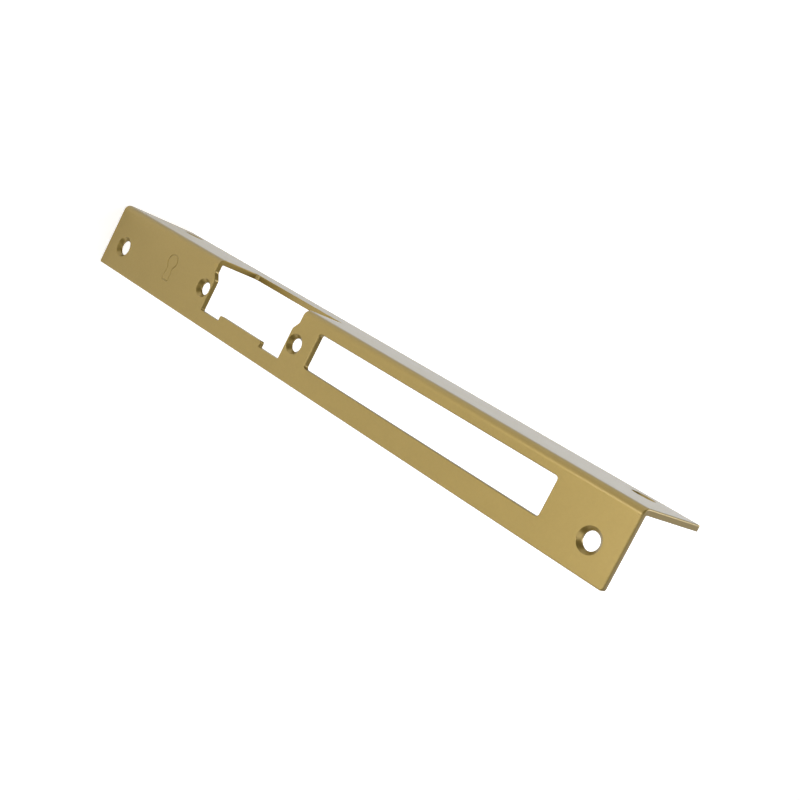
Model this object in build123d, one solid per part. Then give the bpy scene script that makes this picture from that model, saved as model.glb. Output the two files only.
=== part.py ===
"""Angle strike plate: one strip of sheet steel, punched, countersunk and folded once to an L.

Frame, in millimetres: the plate stands on its lower end. +Z runs along its length, the front face looks
towards -Y and the outer face of the return flange looks towards -X. The origin is the middle of the
plate's bounding box at its lower end.
"""

import os
from math import isclose, radians, tan

from build123d import *

# Sheet and fold
LENGTH = 250.0  # along Z
FRONT_WIDTH = 24.5  # front flange, from the heel of the fold to its free edge
RETURN_DEPTH = 35.0  # return flange, from the front face to its free edge
THICKNESS = 2.0
BEND_INNER_R = 0.5

# Outline corners and rounded edges
UPPER_CORNER_R = 1.0  # corners at the free edges of both flanges, at the upper end
LOWER_CORNER_R = 0.5  # the same at the lower end
EDGE_R = 0.4  # rolled-over edges on the outer side, where the punch went in

# Opening for the strike and its keeper, in the front flange and through the fold
STRIKE_Z = 87.0  # centre, above the lower end
STRIKE_FREE_RIM = 5.4  # metal left between the opening and the free edge
STRIKE_HEIGHT = 44.5  # along Z, next to the free edge
STRIKE_FLARE = 1.85  # extra height at each side, towards the fold
FLARE_START = 7.7  # from the heel, where the sides start to slope apart
FLARE_END = 5.1  # from the heel, where the slope ends
STRIKE_DEPTH = 19.2  # from the front face, into the return flange
STRIKE_CORNER_R = 0.5
POCKET_CORNER_R = 1.5  # corners of the opening in the return flange

# Tab that stands into the opening from its rim
TAB_HEIGHT = 23.5  # along Z
TAB_REACH = 2.0
TAB_CORNER_R = 0.6

# Screws that hold the strike, one beside each end of its opening
STRIKE_SCREW_GAP = 3.9  # from the end of the opening to the screw's centre
STRIKE_SCREW_INSET = 12.05  # from the heel
STRIKE_SCREW_R = 2.25
STRIKE_SCREW_HEAD_R = 3.5
STRIKE_SCREW_HALF_SPACING = STRIKE_HEIGHT / 2 + STRIKE_SCREW_GAP

# Slot for the deadbolt, between the upper strike screw and the upper end
SLOT_GAP = 8.5  # from the upper strike screw's centre
SLOT_END_RIM = 26.85  # from the upper end
SLOT_HEEL_RIM = 4.8  # metal left between the slot and the heel
SLOT_WIDTH = 12.2
SLOT_CORNER_R = 1.0
SLOT_LOW_Z = STRIKE_Z + STRIKE_SCREW_HALF_SPACING + SLOT_GAP
SLOT_HEIGHT = LENGTH - SLOT_END_RIM - SLOT_LOW_Z

# Screws that fix the front flange
FIXING_INSET = 14.9  # from the heel
FIXING_LOW_Z = 9.6  # from the lower end
FIXING_HIGH_Z = 9.9  # from the upper end
FIXING_R = 2.75
FIXING_HEAD_R = 3.9

# Screws that fix the return flange
RETURN_RIM = 9.5  # from the free edge to the screws' centres
RETURN_LOW_Z = 13.0  # from the lower end
RETURN_HIGH_Z = 14.8  # from the upper end

COUNTERSINK_ANGLE = 90  # degrees, from side to side of the cone
CUT_MARGIN = 1.0  # how far a cutter stands past the sheet
SAME_SIZE = 0.01  # under which two radii are the same

HEEL_X = -FRONT_WIDTH / 2
FRONT_Y = -RETURN_DEPTH / 2


def folded_strip():
    """The L-shaped strip, with its fold along the heel."""
    inner_x = HEEL_X + THICKNESS
    inner_y = FRONT_Y + THICKNESS
    free_x = HEEL_X + FRONT_WIDTH
    free_y = FRONT_Y + RETURN_DEPTH
    outline = [
        (HEEL_X, FRONT_Y),
        (free_x, FRONT_Y),
        (free_x, inner_y),
        (inner_x, inner_y),
        (inner_x, free_y),
        (HEEL_X, free_y),
    ]
    section = make_face(Polyline(*outline, close=True))
    heel = section.vertices().sort_by_distance((HEEL_X, FRONT_Y))[0]
    section = fillet(heel, BEND_INNER_R + THICKNESS)
    throat = section.vertices().sort_by_distance((inner_x, inner_y))[0]
    section = fillet(throat, BEND_INNER_R)
    return extrude(section, LENGTH)


def round_free_corners(strip):
    """Rounds the outline's corners at the two free edges, first at the upper end."""
    for end, radius in ((-1, UPPER_CORNER_R), (0, LOWER_CORNER_R)):
        front = strip.edges().filter_by(Axis.Y).group_by(Axis.X)[-1]
        back = strip.edges().filter_by(Axis.X).group_by(Axis.Y)[-1]
        corners = [side.sort_by(Axis.Z)[end] for side in (front, back)]
        strip = fillet(corners, radius)
    return strip


def front_plane():
    """Plane on the front face: x runs from the heel to the free edge, y runs down the plate."""
    return Plane(origin=(HEEL_X, FRONT_Y, 0), x_dir=(1, 0, 0), z_dir=(0, 1, 0))


def return_plane():
    """Plane on the return flange's outer face: x runs from the front face back, y runs up the plate."""
    return Plane(origin=(HEEL_X, FRONT_Y, 0), x_dir=(0, 1, 0), z_dir=(1, 0, 0))


def rounded(outline, corners, radius):
    """Rounds the corners of a face that lie nearest to the given points."""
    found = [outline.vertices().sort_by_distance(corner)[0] for corner in corners]
    return fillet(found, radius)


def strike_front_cutter():
    """The strike opening as punched through the front flange, with its flare and tab."""
    rim = FRONT_WIDTH - STRIKE_FREE_RIM
    half = STRIKE_HEIGHT / 2
    wide = half + STRIKE_FLARE
    tab = TAB_HEIGHT / 2
    tab_top = rim - TAB_REACH
    side = [(-CUT_MARGIN, wide), (FLARE_END, wide), (FLARE_START, half), (rim, half)]
    step = [(rim, tab), (tab_top, tab)]
    upper = side + step
    lower = [(x, -y) for x, y in reversed(upper)]
    face = make_face(Polyline(*upper, *lower, close=True))
    face = rounded(face, [(rim, half), (rim, -half)], STRIKE_CORNER_R)
    face = rounded(face, [(tab_top, tab), (tab_top, -tab)], TAB_CORNER_R)
    face = Pos(0, -STRIKE_Z) * face
    return extrude(front_plane() * face, THICKNESS + BEND_INNER_R)


def strike_return_cutter():
    """The strike opening as it runs through the fold and into the return flange."""
    wide = STRIKE_HEIGHT + 2 * STRIKE_FLARE
    reach = STRIKE_DEPTH + CUT_MARGIN
    face = Rectangle(reach, wide, align=(Align.MIN, Align.CENTER))
    face = Pos(-CUT_MARGIN, 0) * face
    ends = [(STRIKE_DEPTH, wide / 2), (STRIKE_DEPTH, -wide / 2)]
    face = rounded(face, ends, POCKET_CORNER_R)
    face = Pos(0, STRIKE_Z) * face
    return extrude(return_plane() * face, THICKNESS + BEND_INNER_R)


def deadbolt_cutter():
    """The long slot that the deadbolt enters."""
    face = RectangleRounded(SLOT_WIDTH, SLOT_HEIGHT, SLOT_CORNER_R)
    centre = Pos(SLOT_HEEL_RIM + SLOT_WIDTH / 2, -(SLOT_LOW_Z + SLOT_HEIGHT / 2))
    return extrude(front_plane() * centre * face, THICKNESS)


def screw_cutter(place, radius, head_radius):
    """A through hole with a countersink at the outer face; place has +Z into the sheet."""
    from_top = (Align.CENTER, Align.CENTER, Align.MIN)
    depth = THICKNESS + 2 * CUT_MARGIN
    hole = Pos(0, 0, -CUT_MARGIN) * Cylinder(radius, depth, align=from_top)
    sink = (head_radius - radius) / tan(radians(COUNTERSINK_ANGLE / 2))
    cone = Cone(head_radius, radius, sink, align=from_top)
    return place * (hole + cone)


def screw_cutters():
    """Every screw hole of both flanges."""
    front = front_plane()
    back = return_plane()
    cutters = []
    for z in (STRIKE_Z - STRIKE_SCREW_HALF_SPACING, STRIKE_Z + STRIKE_SCREW_HALF_SPACING):
        place = front * Pos(STRIKE_SCREW_INSET, -z)
        cutters.append(screw_cutter(place, STRIKE_SCREW_R, STRIKE_SCREW_HEAD_R))
    for z in (FIXING_LOW_Z, LENGTH - FIXING_HIGH_Z):
        place = front * Pos(FIXING_INSET, -z)
        cutters.append(screw_cutter(place, FIXING_R, FIXING_HEAD_R))
    for z in (RETURN_LOW_Z, LENGTH - RETURN_HIGH_Z):
        place = back * Pos(RETURN_DEPTH - RETURN_RIM, z)
        cutters.append(screw_cutter(place, FIXING_R, FIXING_HEAD_R))
    return cutters


def outer_faces(plate):
    """The faces of the plate's outer side: both flanges and the outside of the fold."""
    front = plate.faces().filter_by(Plane.XZ).group_by(Axis.Y)[0]
    back = plate.faces().filter_by(Plane.YZ).group_by(Axis.X)[0]
    heel_r = BEND_INNER_R + THICKNESS
    fold = [face for face in plate.faces().filter_by(GeomType.CYLINDER) if is_fold(face, heel_r)]
    return [*front, *back, *fold]


def is_fold(face, radius):
    """True for a stretch of the fold's outside: a cylinder along Z with the heel's radius."""
    along_z = face.axis_of_rotation.is_parallel(Axis.Z)
    return along_z and isclose(face.radius, radius, abs_tol=SAME_SIZE)


def roll_edges(plate):
    """Rounds the rim of the outer side: the outline and every punched opening."""
    faces = outer_faces(plate)
    rim = []
    for face in faces:
        others = [other for other in faces if other is not face]
        for edge in face.edges():
            shared = any(edge.is_same(twin) for other in others for twin in other.edges())
            if not shared:
                rim.append(edge)
    return fillet(rim, EDGE_R)


def strike_plate():
    """The finished plate."""
    plate = round_free_corners(folded_strip())
    plate -= strike_front_cutter()
    plate -= strike_return_cutter()
    plate -= deadbolt_cutter()
    plate = roll_edges(plate)
    for cutter in screw_cutters():
        plate -= cutter
    return plate


def main():
    """Builds the plate and writes its STEP file."""
    os.makedirs("parts", exist_ok=True)
    export_step(strike_plate(), "parts/strike_plate.step")


main()
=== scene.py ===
"""Angle strike plate in gold lacquer, standing on a pale studio floor.

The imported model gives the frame: the plate's box says where its heel, front face and ends are. The plate is
drawn as its flat blank, in millimetres, with one coordinate across the blank and one along it, and a depth
under its outer side. The blank is then folded through a right angle into the model's place.
"""

import logging
import math
from dataclasses import dataclass, field
from enum import Enum
from operator import itemgetter

import bpy
import numpy as np
from mathutils import Matrix, Vector
from mathutils.geometry import delaunay_2d_cdt


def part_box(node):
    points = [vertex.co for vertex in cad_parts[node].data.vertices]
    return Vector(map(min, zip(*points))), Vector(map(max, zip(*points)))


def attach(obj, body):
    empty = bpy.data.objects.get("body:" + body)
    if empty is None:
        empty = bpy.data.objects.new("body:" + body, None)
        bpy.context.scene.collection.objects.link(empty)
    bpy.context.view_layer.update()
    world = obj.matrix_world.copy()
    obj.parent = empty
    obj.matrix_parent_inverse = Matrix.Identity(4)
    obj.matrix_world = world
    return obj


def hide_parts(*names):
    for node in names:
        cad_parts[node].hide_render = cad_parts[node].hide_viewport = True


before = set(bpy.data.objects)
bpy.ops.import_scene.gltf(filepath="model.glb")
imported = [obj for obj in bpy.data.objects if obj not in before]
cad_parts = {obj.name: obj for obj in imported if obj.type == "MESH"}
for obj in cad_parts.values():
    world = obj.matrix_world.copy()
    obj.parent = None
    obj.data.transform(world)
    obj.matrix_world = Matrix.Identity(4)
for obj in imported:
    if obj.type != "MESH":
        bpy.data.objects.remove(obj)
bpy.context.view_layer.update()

LOG = logging.getLogger("strike_plate")
NODE = "strike_plate"
BODY = "root"
MM = 0.001  # metres
WHITE = (1.0, 1.0, 1.0, 1.0)
CDT_EPSILON = 1e-5  # millimetres, under which two points of a triangulation are one
SAME_SHARE = 0.001  # share of a run under which two of its points are one
SHARE_DIGITS = 9  # digits to which shares of a run are told apart
LEAD = 1.0  # millimetres from a profile's last rounding to its ends, which only give directions
KEYHOLE_POINTS = 240
KEYHOLE_POWER = 6.0  # of the mean that softens the keyhole's corners
FAR = 100.0  # stands for a distance that is never the lesser of two

Array = np.ndarray
Point = tuple[float, float, float]


# ---------------------------------------------------------------------------------------------------------
# Outlines and profiles
# ---------------------------------------------------------------------------------------------------------


@dataclass(frozen=True)
class Corner:
    """A corner of an outline, with the radius that rounds it."""

    x: float
    y: float
    radius: float = 0.0


@dataclass(frozen=True)
class Trace:
    """Points in order along an outline, with the unit vector to the left of travel at each."""

    points: Array
    left: Array


def corner_arc(before: Array, corner: Corner, after: Array, steps: int) -> Trace:
    """Rounds one corner of an outline.

    The arc touches both runs at the radius times the tangent of half the turn from the corner, and its left
    vectors turn evenly from the first run's to the second's.

    Args:
        before: The point that the outline comes from.
        corner: The corner and its radius.
        after: The point that the outline goes on to.
        steps: Chords in a quarter turn.

    Returns:
        The arc's points, both ends included.
    """
    here = np.array([corner.x, corner.y])
    arriving = (here - before) / np.linalg.norm(here - before)
    leaving = (after - here) / np.linalg.norm(after - here)
    cross = arriving[0] * leaving[1] - arriving[1] * leaving[0]
    turn = math.atan2(cross, float(arriving @ leaving))
    chords = max(1, math.ceil(steps * abs(turn) / (math.pi / 2)))
    first_left = np.array([-arriving[1], arriving[0]])
    heading = math.atan2(first_left[1], first_left[0]) + turn * np.linspace(0.0, 1.0, chords + 1)
    left = np.stack([np.cos(heading), np.sin(heading)], axis=1)
    side = math.copysign(corner.radius, turn)
    start = here - arriving * corner.radius * math.tan(abs(turn) / 2)
    centre = start + side * first_left
    return Trace(centre - side * left, left)


def run_between(start: Array, end: Array, step: float, stations: Array) -> Array:
    """Points strictly between two ends of a straight run.

    They are evenly spaced by at most the step, with one more wherever the run crosses a station, which is a
    value of the first coordinate.

    Args:
        start: The run's first end.
        end: The run's last end.
        step: The longest spacing.
        stations: Values of the first coordinate that get a point.

    Returns:
        The points as rows.
    """
    count = math.ceil(np.linalg.norm(end - start) / step)
    shares = np.arange(1, count) / max(count, 1)
    reach = end[0] - start[0]
    if abs(reach) > step * SAME_SHARE:
        crossings = (stations - start[0]) / reach
        inner = (crossings > SAME_SHARE) & (crossings < 1 - SAME_SHARE)
        shares = np.concatenate([shares, crossings[inner]])
    shares = np.unique(np.round(shares, SHARE_DIGITS))
    return start + shares[:, None] * (end - start)


def closed_trace(corners: list[Corner], steps: int, step: float, stations: Array) -> Trace:
    """Traces a closed outline with rounded corners.

    Args:
        corners: The corners in order.
        steps: Chords in a quarter turn of a corner.
        step: The longest spacing on a straight run.
        stations: Values of the first coordinate where straight runs get a point.

    Returns:
        The outline, with its first point not repeated.
    """
    places = [np.array([corner.x, corner.y]) for corner in corners]
    count = len(corners)
    arcs = [
        corner_arc(places[i - 1], corners[i], places[(i + 1) % count], steps) for i in range(count)
    ]
    points, left = [], []
    for i, arc in enumerate(arcs):
        run = run_between(arc.points[-1], arcs[(i + 1) % count].points[0], step, stations)
        points += [arc.points, run]
        left += [arc.left, np.repeat(arc.left[-1:], len(run), axis=0)]
    return Trace(np.concatenate(points), np.concatenate(left))


def open_trace(corners: list[Corner], steps: int) -> Trace:
    """Traces an open outline between the roundings of its inner corners, ends left out.

    Args:
        corners: The corners in order; the two ends only give directions.
        steps: Chords in a quarter turn of a corner.

    Returns:
        The roundings' points one after another.
    """
    places = [np.array([corner.x, corner.y]) for corner in corners]
    arcs = [
        corner_arc(places[i - 1], corners[i], places[i + 1], steps) for i in range(1, len(corners) - 1)
    ]
    return Trace(np.concatenate([a.points for a in arcs]), np.concatenate([a.left for a in arcs]))


def circle_trace(x: float, y: float, radius: float, count: int) -> Trace:
    """A circle, traced so that the left of travel is away from its centre.

    Args:
        x: The centre across.
        y: The centre along.
        radius: The radius.
        count: Points around it.

    Returns:
        The circle.
    """
    turn = -2 * math.pi * np.arange(count) / count
    away = np.stack([np.cos(turn), np.sin(turn)], axis=1)
    return Trace(np.array([x, y]) + radius * away, away)


@dataclass(frozen=True)
class Keyhole:
    """A lying keyhole with its foot towards larger x, in millimetres."""

    head: float = 2.6  # the head's radius
    neck: float = 0.95  # half the foot's width, as its sides would reach the head's centre
    foot: float = 1.9  # half the foot's width at its bottom
    reach: float = 7.4  # from the head's centre to the bottom of the foot

    def trace(self, x: float, y: float) -> Trace:
        """Traces the keyhole by its distance from the head's centre in every direction.

        In the foot's directions the distance is the lesser of those to its side and to its bottom, and the
        outline is the greater of that and the head's radius. Both choices are softened by a power mean.

        Args:
            x: The head's centre across.
            y: The head's centre along.

        Returns:
            The outline, with its outside on the left of travel.
        """
        angle = -2 * math.pi * np.arange(KEYHOLE_POINTS) / KEYHOLE_POINTS
        aside, ahead = np.sin(angle), np.cos(angle)
        widening = (self.foot - self.neck) / self.reach
        closing = np.maximum(np.abs(aside) - widening * ahead, self.head / FAR)
        towards = np.where(ahead > 0, (closing / self.neck) ** KEYHOLE_POWER, FAR**KEYHOLE_POWER)
        towards += (np.maximum(ahead, 0.0) / self.reach) ** KEYHOLE_POWER
        distance = (towards**-1.0 + self.head**KEYHOLE_POWER) ** (1 / KEYHOLE_POWER)
        points = np.stack([x + distance * ahead, y + distance * aside], axis=1)
        along = np.roll(points, -1, axis=0) - np.roll(points, 1, axis=0)
        left = np.stack([-along[:, 1], along[:, 0]], axis=1)
        return Trace(points, left / np.linalg.norm(left, axis=1, keepdims=True))


def inside_loops(points: Array, loops: list[Array]) -> Array:
    """Says which points lie in the metal, by the even-odd rule over all loops together.

    A ray goes from each point towards larger x, and the edges that it crosses are counted.

    Args:
        points: The points to test, as rows.
        loops: Closed outlines.

    Returns:
        One truth value per point.
    """
    starts = np.concatenate(loops)
    ends = np.concatenate([np.roll(loop, -1, axis=0) for loop in loops])
    x, y = points[:, :1], points[:, 1:]
    spans = (starts[:, 1] > y) != (ends[:, 1] > y)
    rise = np.where(starts[:, 1] == ends[:, 1], 1.0, ends[:, 1] - starts[:, 1])
    crossing = starts[:, 0] + (y - starts[:, 1]) / rise * (ends[:, 0] - starts[:, 0])
    return (np.count_nonzero(spans & (x < crossing), axis=1) % 2).astype(bool)


# ---------------------------------------------------------------------------------------------------------
# Sheet metal
# ---------------------------------------------------------------------------------------------------------


@dataclass(frozen=True)
class Fold:
    """The right-angled fold that turns the flat blank into the plate. Sizes are in millimetres.

    Across the blank, zero is where the fold starts on the front flange, the free edge of the front flange
    is positive, and the return flange is past minus one quarter of the fold's outer circle.
    """

    heel_x: float
    front_y: float
    outer_radius: float

    @property
    def arc(self) -> float:
        """Length of the fold on its outer side."""
        return self.outer_radius * math.pi / 2

    def front(self, from_heel: float) -> float:
        """Where a distance from the heel along the front flange lies across the blank."""
        return from_heel - self.outer_radius

    def back(self, from_front: float) -> float:
        """Where a distance from the front face along the return flange lies across the blank."""
        return self.outer_radius - self.arc - from_front

    def rows(self, count: int) -> Array:
        """Stations across the blank that divide the fold evenly, both ends included."""
        return np.linspace(-self.arc, 0.0, count + 1)

    def place(self, across: Array, along: Array, depth: Array, normals: Array) -> tuple[Array, Array]:
        """Folds points and their normals into the model's frame.

        The angle turned is the distance into the fold over its outer radius, held between none and a
        right angle. A point lies on the fold's centre, plus the outward direction times the radius left
        under its depth, plus the distance past either end of the fold along the flange there.

        Args:
            across: Distance across the blank.
            along: Distance along the plate.
            depth: Distance under the outer side.
            normals: Rows of across, along and outward parts.

        Returns:
            The points and the unit normals, as rows of x, y and z.
        """
        turned = np.clip(-across / self.outer_radius, 0.0, math.pi / 2)
        level = np.zeros_like(turned)
        outward = np.stack([-np.sin(turned), -np.cos(turned), level], axis=1)
        ahead = np.stack([np.cos(turned), -np.sin(turned), level], axis=1)
        upward = np.stack([level, level, level + 1.0], axis=1)
        past = np.maximum(across, 0.0) + np.minimum(across + self.arc, 0.0)
        base = np.array([self.heel_x + self.outer_radius, self.front_y + self.outer_radius, 0.0])
        points = base + (self.outer_radius - depth)[:, None] * outward
        points += past[:, None] * ahead + along[:, None] * upward
        turned_normals = normals[:, :1] * ahead + normals[:, 1:2] * upward + normals[:, 2:] * outward
        return points, turned_normals / np.linalg.norm(turned_normals, axis=1, keepdims=True)


class Side(Enum):
    """A side of the sheet; the value is the outward part of its normal."""

    OUTER = 1.0
    INNER = -1.0


@dataclass
class Blank:
    """Vertices and faces of a sheet in blank coordinates, gathered piece by piece."""

    across: list[Array] = field(default_factory=list)
    along: list[Array] = field(default_factory=list)
    depth: list[Array] = field(default_factory=list)
    normals: list[Array] = field(default_factory=list)
    faces: list[Array] = field(default_factory=list)
    count: int = 0

    def add_points(self, places: Array, depth: Array, normals: Array) -> Array:
        """Adds vertices.

        Args:
            places: Rows of across and along.
            depth: Depth of each.
            normals: Rows of across, along and outward parts.

        Returns:
            The new vertices' numbers.
        """
        self.across.append(places[:, 0])
        self.along.append(places[:, 1])
        self.depth.append(depth)
        self.normals.append(normals)
        numbers = self.count + np.arange(len(places))
        self.count += len(places)
        return numbers

    def add_rim(self, outline: Trace, profile: Trace) -> tuple[Array, Array]:
        """Carries a profile round a closed outline.

        Ring k of the rim is the outline moved into the metal by the profile's inset k, at its depth k. The
        profile's left vectors, across and down, become the rim's normals. Neighbouring rings are joined by
        four-sided faces.

        Args:
            outline: The closed outline, with the metal on its left.
            profile: Rows of inset and depth, from the outer side down.

        Returns:
            The numbers of the first and of the last ring's vertices.
        """
        rings, around = len(profile.points), len(outline.points)
        inset = profile.points[:, None, :1]
        places = outline.points[None] + inset * outline.left[None]
        depth = np.repeat(profile.points[:, 1], around)
        sideways = profile.left[:, None, :1] * outline.left[None]
        outward = np.broadcast_to(-profile.left[:, None, 1:], (rings, around, 1))
        normals = np.concatenate([sideways, outward], axis=2).reshape(-1, 3)
        numbers = self.add_points(places.reshape(-1, 2), depth, normals).reshape(rings, around)
        after = np.roll(numbers, -1, axis=1)
        quads = np.stack([numbers[:-1], numbers[1:], after[1:], after[:-1]], axis=2)
        self.faces.append(quads.reshape(-1, 4))
        return numbers[0], numbers[-1]

    def places_of(self, numbers: Array) -> Array:
        """Rows of across and along of some vertices."""
        places = np.stack([np.concatenate(self.across), np.concatenate(self.along)], axis=1)
        return places[numbers]

    def add_side(
        self, rings: list[Array], grid: Array, creases: list[Array], depth: float, side: Side
    ) -> None:
        """Fills one side of the sheet between its rims with triangles.

        The rings and the rows of the fold are kept as edges of a constrained Delaunay triangulation, and
        triangles that lie in an opening are dropped.

        Args:
            rings: The vertices of each rim where it meets this side.
            grid: Rows of across and along, of the points that the flat metal gets.
            creases: Places in order along each stretch of a row of the fold.
            depth: The side's depth.
            side: Which side it is.
        """
        loops = [self.places_of(ring) for ring in rings]
        loose = np.concatenate([grid, *creases])
        normals = np.tile([0.0, 0.0, side.value], (len(loose), 1))
        added = self.add_points(loose, np.full(len(loose), depth), normals)
        numbers = np.concatenate([*rings, added])
        places = np.concatenate([*loops, loose])
        edges = []
        start = 0
        for loop in loops:
            own = start + np.arange(len(loop))
            edges.append(np.stack([own, np.roll(own, -1)], axis=1))
            start += len(loop)
        start += len(grid)
        for crease in creases:
            own = start + np.arange(len(crease))
            edges.append(np.stack([own[:-1], own[1:]], axis=1))
            start += len(crease)
        points = [Vector(place) for place in places.tolist()]
        found = delaunay_2d_cdt(points, np.concatenate(edges).tolist(), [], 0, CDT_EPSILON)
        source = np.fromiter(map(itemgetter(0), found[3]), int)
        triangles = source[np.array(found[2])]
        middle = places[triangles].mean(axis=1)
        self.faces.append(numbers[triangles[inside_loops(middle, loops)]])


@dataclass(frozen=True)
class EdgeFinish:
    """How punched edges are rounded, in millimetres, and how finely they are drawn."""

    rolled: float = 0.48  # outer side, where the punch went in
    rolled_at_screws: float = 0.25  # the same where a countersink comes close
    back: float = 0.15  # inner side
    sunk: float = 0.3  # edges of the countersinks, softened by the lacquer
    stamped_edge: float = 0.09  # edges of a stamped line
    steps: int = 7  # chords in a quarter turn

    def punched(self, thickness: float, rolled: float) -> Trace:
        """The profile of a punched edge: rolled over, straight down, and a small rounding at the back.

        Args:
            thickness: The sheet's thickness.
            rolled: The radius at the outer side.

        Returns:
            Rows of inset and depth.
        """
        corners = [
            Corner(LEAD, 0.0),
            Corner(0.0, 0.0, rolled),
            Corner(0.0, thickness, self.back),
            Corner(LEAD, thickness),
        ]
        return open_trace(corners, self.steps)

    def countersunk(self, thickness: float, sink: float) -> Trace:
        """The profile of a countersunk hole: a cone at half a right angle, then a straight land.

        Args:
            thickness: The sheet's thickness.
            sink: The cone's depth, which is also how much wider it is at the outer side.

        Returns:
            Rows of inset and depth.
        """
        corners = [
            Corner(sink + LEAD, 0.0),
            Corner(sink, 0.0, self.sunk),
            Corner(0.0, sink, self.sunk),
            Corner(0.0, thickness, self.back),
            Corner(LEAD, thickness),
        ]
        return open_trace(corners, self.steps)

    def stamped(self, width: float, deep: float) -> Trace:
        """The profile of a stamped line: a shallow groove with a rounded bottom, and both its banks.

        Args:
            width: The groove's width.
            deep: Its depth before the bottom is rounded.

        Returns:
            Rows of inset and depth.
        """
        half = width / 2
        corners = [
            Corner(half + LEAD, 0.0),
            Corner(half, 0.0, self.stamped_edge),
            Corner(0.0, deep, self.stamped_edge),
            Corner(-half, 0.0, self.stamped_edge),
            Corner(-half - LEAD, 0.0),
        ]
        return open_trace(corners, self.steps)


@dataclass(frozen=True)
class Hole:
    """A countersunk screw hole: its centre on the blank and its two radii."""

    across: float
    along: float
    radius: float
    head_radius: float


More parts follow.
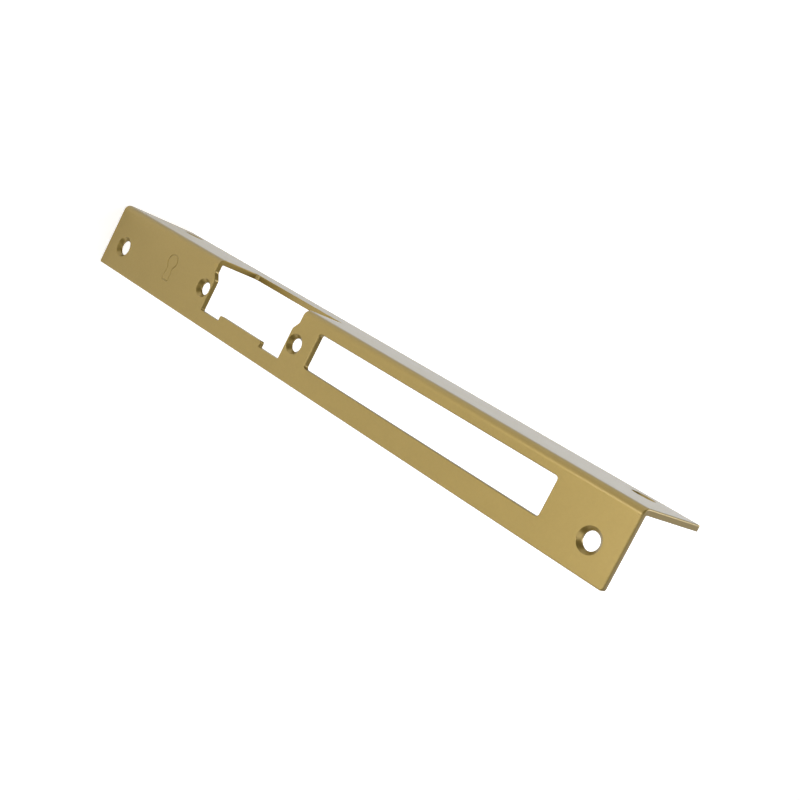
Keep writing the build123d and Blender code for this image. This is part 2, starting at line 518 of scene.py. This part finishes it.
@dataclass
class AngleStrikePlate:
    """The plate: one strip of sheet steel, punched, countersunk, stamped and folded. In millimetres."""

    heel_x: float
    front_y: float
    length: float
    front_width: float
    return_depth: float
    thickness: float = 2.0
    bend_inner_radius: float = 0.5
    upper_corner_radius: float = 1.0
    lower_corner_radius: float = 0.5

    strike_z: float = 87.0
    strike_free_rim: float = 5.4
    strike_height: float = 44.5
    strike_flare: float = 1.85
    flare_start: float = 7.7
    flare_end: float = 5.1
    flare_radius: float = 1.5
    strike_depth: float = 19.2
    strike_corner_radius: float = 0.5
    pocket_corner_radius: float = 1.5

    tab_height: float = 23.5
    tab_reach: float = 2.0
    tab_corner_radius: float = 0.65
    tab_foot_radius: float = 0.25

    strike_screw_gap: float = 3.9
    strike_screw_inset: float = 12.05
    strike_screw_radius: float = 2.25
    strike_screw_head_radius: float = 3.5

    slot_gap: float = 8.5
    slot_end_rim: float = 26.85
    slot_heel_rim: float = 4.8
    slot_width: float = 12.2
    slot_corner_radius: float = 1.0

    fixing_inset: float = 14.9
    fixing_low_z: float = 9.6
    fixing_high_z: float = 9.9
    fixing_radius: float = 2.75
    fixing_head_radius: float = 3.9
    return_rim: float = 9.5
    return_low_z: float = 13.0
    return_high_z: float = 14.8

    keyhole: Keyhole = Keyhole()
    stamp_inset: float = 9.8
    stamp_z: float = 39.8
    stamp_line: float = 0.5
    stamp_depth: float = 0.2

    edges: EdgeFinish = EdgeFinish()
    grid_step: float = 3.0
    fold_rows: int = 14
    hole_points: int = 96

    @property
    def fold(self) -> Fold:
        """The fold along the heel."""
        return Fold(self.heel_x, self.front_y, self.bend_inner_radius + self.thickness)

    @property
    def rows(self) -> Array:
        """Stations across the fold that every outline has points on."""
        return self.fold.rows(self.fold_rows)

    def loop(self, corners: list[Corner]) -> Trace:
        """A closed outline with points on the fold's rows."""
        return closed_trace(corners, self.edges.steps, self.grid_step, self.rows)

    def outline(self) -> Trace:
        """Traces the blank's outline, a strip with slightly rounded corners.

        Returns:
            The outline, with the metal on its left.
        """
        near, far = self.fold.front(self.front_width), self.fold.back(self.return_depth)
        upper, lower = self.upper_corner_radius, self.lower_corner_radius
        return self.loop([
            Corner(far, 0.0, lower),
            Corner(near, 0.0, lower),
            Corner(near, self.length, upper),
            Corner(far, self.length, upper),
        ])

    def strike_opening(self) -> Trace:
        """Traces the opening for the strike, with the tab on its rim.

        It is flared towards the fold, and runs through the fold into the return flange as a plain pocket.

        Returns:
            The outline, with the metal on its left.
        """
        fold = self.fold
        rim = fold.front(self.front_width - self.strike_free_rim)
        tab_top = rim - self.tab_reach
        pocket = fold.back(self.strike_depth)
        half = self.strike_height / 2
        wide = half + self.strike_flare
        tab = self.tab_height / 2
        upper = [
            Corner(tab_top, tab, self.tab_corner_radius),
            Corner(rim, tab, self.tab_foot_radius),
            Corner(rim, half, self.strike_corner_radius),
            Corner(fold.front(self.flare_start), half, self.flare_radius),
            Corner(fold.front(self.flare_end), wide, self.flare_radius),
            Corner(pocket, wide, self.pocket_corner_radius),
        ]
        lower = [Corner(corner.x, -corner.y, corner.radius) for corner in reversed(upper)]
        placed = [Corner(c.x, self.strike_z + c.y, c.radius) for c in reversed(lower + upper)]
        return self.loop(placed)

    @property
    def strike_screw_spacing(self) -> float:
        """From the strike opening's middle to the centre of each strike screw."""
        return self.strike_height / 2 + self.strike_screw_gap

    def deadbolt_slot(self) -> Trace:
        """Traces the long slot for the deadbolt.

        Returns:
            The outline, with the metal on its left.
        """
        low = self.strike_z + self.strike_screw_spacing + self.slot_gap
        high = self.length - self.slot_end_rim
        near = self.fold.front(self.slot_heel_rim)
        far = near + self.slot_width
        radius = self.slot_corner_radius
        return self.loop([
            Corner(near, low, radius),
            Corner(near, high, radius),
            Corner(far, high, radius),
            Corner(far, low, radius),
        ])

    def holes(self) -> list[Hole]:
        """Places every screw hole.

        Returns:
            The strike's two screws, then the fixing screws of the front and of the return flange.
        """
        strike_across = self.fold.front(self.strike_screw_inset)
        fixing_across = self.fold.front(self.fixing_inset)
        return_across = self.fold.back(self.return_depth - self.return_rim)
        spacing = self.strike_screw_spacing
        strike = (self.strike_screw_radius, self.strike_screw_head_radius)
        fixing = (self.fixing_radius, self.fixing_head_radius)
        return [
            Hole(strike_across, self.strike_z - spacing, *strike),
            Hole(strike_across, self.strike_z + spacing, *strike),
            Hole(fixing_across, self.fixing_low_z, *fixing),
            Hole(fixing_across, self.length - self.fixing_high_z, *fixing),
            Hole(return_across, self.return_low_z, *fixing),
            Hole(return_across, self.length - self.return_high_z, *fixing),
        ]

    def stamp(self) -> Trace:
        """A plain keyhole, stamped as one closed line."""
        return self.keyhole.trace(self.fold.front(self.stamp_inset), self.stamp_z)

    def grid(self, loops: list[Array]) -> Array:
        """Points on the flat metal, clear of every rim and of the fold.

        Args:
            loops: The rims' outlines on this side.

        Returns:
            Rows of across and along.
        """
        step = self.grid_step
        near, far = self.fold.front(self.front_width), self.fold.back(self.return_depth)
        across = np.concatenate([np.arange(step, near, step), -self.fold.arc - np.arange(step, -far, step)])
        along = np.arange(step, self.length, step)
        places = np.stack(np.meshgrid(across, along, indexing="ij"), axis=2).reshape(-1, 2)
        places = places[inside_loops(places, loops)]
        rims = np.concatenate(loops)
        away = np.linalg.norm(places[:, None] - rims[None], axis=2).min(axis=1)
        return places[away > step / 2]

    def creases(self, inset: float, opening_inset: float) -> list[Array]:
        """The rows along the fold, below and above the strike opening.

        Args:
            inset: How far the outline's rim reaches into this side.
            opening_inset: How far the opening's rim does.

        Returns:
            For each stretch of each row, places in order.
        """
        wide = self.strike_height / 2 + self.strike_flare + opening_inset
        spans = [(inset, self.strike_z - wide), (self.strike_z + wide, self.length - inset)]
        found = []
        for low, high in spans:
            along = np.linspace(low, high, math.ceil((high - low) / self.grid_step) + 1)
            found += [np.stack([np.full_like(along, row), along], axis=1) for row in self.rows]
        return found

    def blank(self) -> Blank:
        """Draws the blank: the rims of every outline, then both sides between them.

        Returns:
            The finished blank.
        """
        sheet = Blank()
        rolled, narrow = self.edges.rolled, self.edges.rolled_at_screws
        outer, inner = [], []
        for outline, radius in (
            (self.outline(), rolled),
            (self.strike_opening(), narrow),
            (self.deadbolt_slot(), rolled),
        ):
            first, last = sheet.add_rim(outline, self.edges.punched(self.thickness, radius))
            outer.append(first)
            inner.append(last)
        for hole in self.holes():
            circle = circle_trace(hole.across, hole.along, hole.radius, self.hole_points)
            profile = self.edges.countersunk(self.thickness, hole.head_radius - hole.radius)
            first, last = sheet.add_rim(circle, profile)
            outer.append(first)
            inner.append(last)
        outer += sheet.add_rim(self.stamp(), self.edges.stamped(self.stamp_line, self.stamp_depth))
        outer_creases = self.creases(rolled, narrow)
        inner_creases = self.creases(self.edges.back, self.edges.back)
        for rings, creases, depth, side in (
            (outer, outer_creases, 0.0, Side.OUTER),
            (inner, inner_creases, self.thickness, Side.INNER),
        ):
            loops = [sheet.places_of(ring) for ring in rings]
            sheet.add_side(rings, self.grid(loops), creases, depth, side)
        return sheet

    def build(self) -> bpy.types.Object:
        """Makes the plate's object, with its faces outward and its normals from the formula.

        Returns:
            The object, at the origin.
        """
        sheet = self.blank()
        parts = [np.concatenate(part) for part in (sheet.across, sheet.along, sheet.depth, sheet.normals)]
        points, normals = self.fold.place(*parts)
        return mesh_object("angle_strike_plate", points * MM, normals, sheet.faces)


def mesh_object(name: str, points: Array, normals: Array, groups: list[Array]) -> bpy.types.Object:
    """Makes an object from points, their normals and faces.

    Each face is turned so that its own normal agrees with the sum of its points' normals, and points that no
    face uses are left out.

    Args:
        name: The object's name.
        points: Rows of x, y and z in metres.
        normals: One unit normal for each point.
        groups: Arrays of faces, each with one number of sides.

    Returns:
        The object, linked to the scene.
    """
    used = np.unique(np.concatenate([group.ravel() for group in groups]))
    renumbered = np.zeros(len(points), int)
    renumbered[used] = np.arange(len(used))
    faces = []
    for group in groups:
        corner = points[group]
        facing = np.cross(corner[:, 1] - corner[:, 0], corner[:, 2] - corner[:, 0])
        wrong = np.einsum("ij,ij->i", facing, normals[group].sum(axis=1)) < 0
        turned = np.where(wrong[:, None], group[:, ::-1], group)
        faces += renumbered[turned].tolist()
    mesh = bpy.data.meshes.new(name)
    mesh.from_pydata(points[used].tolist(), [], faces)
    mesh.polygons.foreach_set("use_smooth", np.ones(len(faces), bool))
    mesh.normals_split_custom_set_from_vertices(normals[used].tolist())
    mesh.update()
    obj = bpy.data.objects.new(name, mesh)
    bpy.context.scene.collection.objects.link(obj)
    return obj


# ---------------------------------------------------------------------------------------------------------
# Materials
# ---------------------------------------------------------------------------------------------------------


class Link:
    """One output socket in a node tree; arithmetic on it adds Math nodes."""

    def __init__(self, shader: "Shader", socket: bpy.types.NodeSocket) -> None:
        """Wraps a socket of a shader's tree."""
        self.shader = shader
        self.socket = socket

    def maths(self, operation: str, first: "Value", second: "Value") -> "Link":
        """Adds a Math node of an operation on two values."""
        return self.shader.node("ShaderNodeMath", {"operation": operation}, {0: first, 1: second})

    def __add__(self, other: "Value") -> "Link":
        """This plus another value."""
        return self.maths("ADD", self, other)

    __radd__ = __add__

    def __mul__(self, other: "Value") -> "Link":
        """This times another value."""
        return self.maths("MULTIPLY", self, other)

    __rmul__ = __mul__


Value = Link | float
Colour = tuple[float, float, float, float]
FIRST_COLOUR, SECOND_COLOUR, MIXED_COLOUR = 6, 7, 2  # sockets of a Mix node on colours


class Shader:
    """A material under construction."""

    def __init__(self, name: str) -> None:
        """Starts an empty material."""
        self.material = bpy.data.materials.new(name)
        self.material.use_nodes = True
        self.tree = self.material.node_tree
        self.tree.nodes.clear()

    def node(self, kind: str, settings: dict, inputs: dict, output: str | int = 0) -> Link:
        """Adds a node.

        Args:
            kind: The node's type.
            settings: Properties of the node, which are set first.
            inputs: Values or links, by the socket's name or number.
            output: The output socket's name or number.

        Returns:
            That output.
        """
        made = self.tree.nodes.new(kind)
        for key, value in settings.items():
            setattr(made, key, value)
        for key, value in inputs.items():
            if isinstance(value, Link):
                self.tree.links.new(value.socket, made.inputs[key])
            else:
                made.inputs[key].default_value = value
        return Link(self, made.outputs[output])

    def noise(self, where: Link, scale: float, detail: float) -> Link:
        """Noise with features of one over the scale, in metres."""
        inputs = {"Vector": where, "Scale": scale, "Detail": detail}
        return self.node("ShaderNodeTexNoise", {}, inputs, "Fac")

    def blend(self, factor: Link, first: Colour, second: Colour) -> Link:
        """Mixes two colours."""
        inputs = {"Factor": factor, FIRST_COLOUR: first, SECOND_COLOUR: second}
        return self.node("ShaderNodeMix", {"data_type": "RGBA"}, inputs, MIXED_COLOUR)

    def finish(self, surface: Link) -> bpy.types.Material:
        """Joins the surface to the output.

        Args:
            surface: The surface shader's output.

        Returns:
            The material.
        """
        end = self.tree.nodes.new("ShaderNodeOutputMaterial")
        self.tree.links.new(surface.socket, end.inputs["Surface"])
        return self.material


@dataclass(frozen=True)
class GoldLacquer:
    """Sprayed gold lacquer: fine metal flake in a satin binder, over steel."""

    colour: Colour = (0.370, 0.262, 0.072, 1.0)
    deep_colour: Colour = (0.272, 0.193, 0.052, 1.0)
    edge_tint: Colour = (0.04, 0.12, 0.22, 1.0)
    metallic: float = 0.6
    roughness: float = 0.37
    coat: float = 0.48
    coat_roughness: float = 0.20

    cloud_scale: float = 60.0  # slow changes of tone over the plate
    cloud_detail: float = 3.0
    cloud_tone: float = 0.35
    peel_scale: float = 1100.0  # the sprayed film's orange peel
    peel_detail: float = 2.0
    peel_tone: float = 0.35
    peel_height: float = 0.7
    flake_scale: float = 9000.0  # single grains of the metal flake
    flake_detail: float = 1.0
    flake_tone: float = 0.3
    flake_height: float = 0.3
    roughness_change: float = 0.08  # by the clouds, and again by the flake
    bump_strength: float = 0.12
    bump_distance: float = 0.00003  # metres

    def material(self) -> bpy.types.Material:
        """Builds the material on Object coordinates.

        Returns:
            The material.
        """
        shader = Shader("satin_gold_lacquer")
        where = shader.node("ShaderNodeTexCoord", {}, {}, "Object")
        clouds = shader.noise(where, self.cloud_scale, self.cloud_detail)
        flake = shader.noise(where, self.flake_scale, self.flake_detail)
        peel = shader.noise(where, self.peel_scale, self.peel_detail)
        tone = clouds * self.cloud_tone + peel * self.peel_tone + flake * self.flake_tone
        change = self.roughness_change
        bump = {
            "Strength": self.bump_strength,
            "Distance": self.bump_distance,
            "Height": peel * self.peel_height + flake * self.flake_height,
        }
        inputs = {
            "Base Color": shader.blend(tone, self.deep_colour, self.colour),
            "Metallic": self.metallic,
            "Roughness": clouds * change + flake * change + (self.roughness - change),
            "Specular Tint": self.edge_tint,
            "Coat Weight": self.coat,
            "Coat Roughness": self.coat_roughness,
            "Normal": shader.node("ShaderNodeBump", {}, bump, "Normal"),
        }
        return shader.finish(shader.node("ShaderNodeBsdfPrincipled", {}, inputs))


@dataclass(frozen=True)
class StudioPaper:
    """Matt white paper under the plate, lit from below so that it shows next to no shadow."""

    colour: Colour = (0.92, 0.92, 0.92, 1.0)
    glow: float = 0.58  # light that it gives of itself, where white is 1

    def material(self) -> bpy.types.Material:
        """Builds the material, which is the same all over.

        Returns:
            The material.
        """
        shader = Shader("studio_paper")
        inputs = {
            "Base Color": self.colour,
            "Roughness": 1.0,
            "Specular IOR Level": 0.0,
            "Emission Color": self.colour,
            "Emission Strength": self.glow / self.colour[0],
        }
        return shader.finish(shader.node("ShaderNodeBsdfPrincipled", {}, inputs))


# ---------------------------------------------------------------------------------------------------------
# Studio
# ---------------------------------------------------------------------------------------------------------


@dataclass(frozen=True)
class Camera:
    """A camera named by its place, what it is aimed at, its roll about that line and its lens."""

    place: Point = (-38.48, -294.27, 384.46)  # millimetres
    target: Point = (-2.764, -17.5, 163.081)  # millimetres
    roll: float = 121.557  # degrees that the picture's right turns up from level
    lens: float = 53.65  # millimetres
    nearest: float = 0.01  # metres, closer than which nothing shows

    def build(self) -> None:
        """Makes the camera and gives it to the scene."""
        data = bpy.data.cameras.new("studio_camera")
        data.lens = self.lens
        data.clip_start = self.nearest
        obj = bpy.data.objects.new("studio_camera", data)
        place = Vector(self.place) * MM
        back = (place - Vector(self.target) * MM).normalized()
        level = Vector((0.0, 0.0, 1.0)).cross(back).normalized()
        upright = Matrix((level, back.cross(level), back)).transposed().to_4x4()
        rolled = Matrix.Rotation(math.radians(self.roll), 4, "Z")
        obj.matrix_world = Matrix.Translation(place) @ upright @ rolled
        bpy.context.scene.collection.objects.link(obj)
        bpy.context.scene.camera = obj


@dataclass(frozen=True)
class SoftLight:
    """A square soft light that faces a point. Lengths are in metres, power in watts."""

    name: str
    place: Point
    size: float
    power: float
    target: Point = (0.0, 0.0, 0.12)

    def build(self) -> None:
        """Makes the light, which the camera doesn't see."""
        data = bpy.data.lights.new(self.name, "AREA")
        data.size = self.size
        data.energy = self.power
        obj = bpy.data.objects.new(self.name, data)
        place = Vector(self.place)
        aim = (Vector(self.target) - place).to_track_quat("-Z", "Y").to_matrix().to_4x4()
        obj.matrix_world = Matrix.Translation(place) @ aim
        obj.visible_camera = False
        bpy.context.scene.collection.objects.link(obj)


@dataclass(frozen=True)
class Studio:
    """The floor, the soft lights and a pale backdrop that gives no light of its own."""

    floor_size: float = 12.0
    backdrop: float = 0.66
    lights: tuple[SoftLight, ...] = (
        SoftLight("back_left_softbox", (-0.4, 0.9, 0.8), 0.6, 6.6),
        SoftLight("back_softbox", (0.1, 1.3, 0.7), 0.8, 2.1),
        SoftLight("back_right_softbox", (0.8, 0.8, 0.6), 0.6, 2.5),
        SoftLight("left_softbox", (-1.0, 0.1, 0.3), 0.5, 1.3),
        SoftLight("right_softbox", (1.1, 0.1, 0.45), 0.6, 3.0),
        SoftLight("overhead_softbox", (0.0, -0.35, 1.1), 0.9, 3.4),
        SoftLight("front_card", (0.05, -0.7, 0.13), 0.3, 1.0, (0.0, 0.0, 0.15)),
        SoftLight("edge_card", (0.1, -0.8, 0.36), 0.14, 0.25, (0.0, 0.0, 0.25)),
        SoftLight("fold_card", (-0.14, -0.38, 0.075), 0.12, 0.17, (-0.012, -0.017, 0.2)),
        SoftLight("end_card", (0.0, -0.25, 0.62), 0.3, 0.25, (0.0, 0.0, 0.25)),
    )

    def build_floor(self) -> None:
        """Makes the floor, a square about the origin."""
        half = self.floor_size / 2
        corners = [(-half, -half, 0), (half, -half, 0), (half, half, 0), (-half, half, 0)]
        mesh = bpy.data.meshes.new("studio_floor")
        mesh.from_pydata(corners, [], [(0, 1, 2, 3)])
        mesh.materials.append(StudioPaper().material())
        floor = bpy.data.objects.new("studio_floor", mesh)
        bpy.context.scene.collection.objects.link(floor)
        LOG.info("%s: %.0f m square", floor.name, self.floor_size)

    def build_backdrop(self) -> None:
        """Makes the pale room behind the floor, which lights nothing."""
        world = bpy.data.worlds.new("studio_room")
        world.use_nodes = True
        background = world.node_tree.nodes["Background"]
        background.inputs["Color"].default_value = WHITE
        background.inputs["Strength"].default_value = self.backdrop
        world.cycles_visibility.diffuse = False
        world.cycles_visibility.glossy = False
        bpy.context.scene.world = world

    def build(self) -> None:
        """Makes the floor, the backdrop and the lights."""
        self.build_floor()
        self.build_backdrop()
        for light in self.lights:
            light.build()
            LOG.info("%s: %.2f W", light.name, light.power)
        bpy.context.scene.view_settings.view_transform = "Standard"


# ---------------------------------------------------------------------------------------------------------
# Main
# ---------------------------------------------------------------------------------------------------------


def main() -> None:
    """Builds the studio and the plate, and reports each piece."""
    logging.basicConfig(level=logging.INFO, format="%(name)s: %(message)s")
    low, high = (np.array(corner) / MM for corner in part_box(NODE))
    size = high - low
    plate = AngleStrikePlate(low[0], low[1], size[2], size[0], size[1])
    obj = plate.build()
    obj.data.materials.append(GoldLacquer().material())
    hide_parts(NODE)
    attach(obj, BODY)
    LOG.info("%s: %d faces, %d vertices", obj.name, len(obj.data.polygons), len(obj.data.vertices))
    Studio().build()
    Camera().build()


if __name__ == "__main__":
    main()
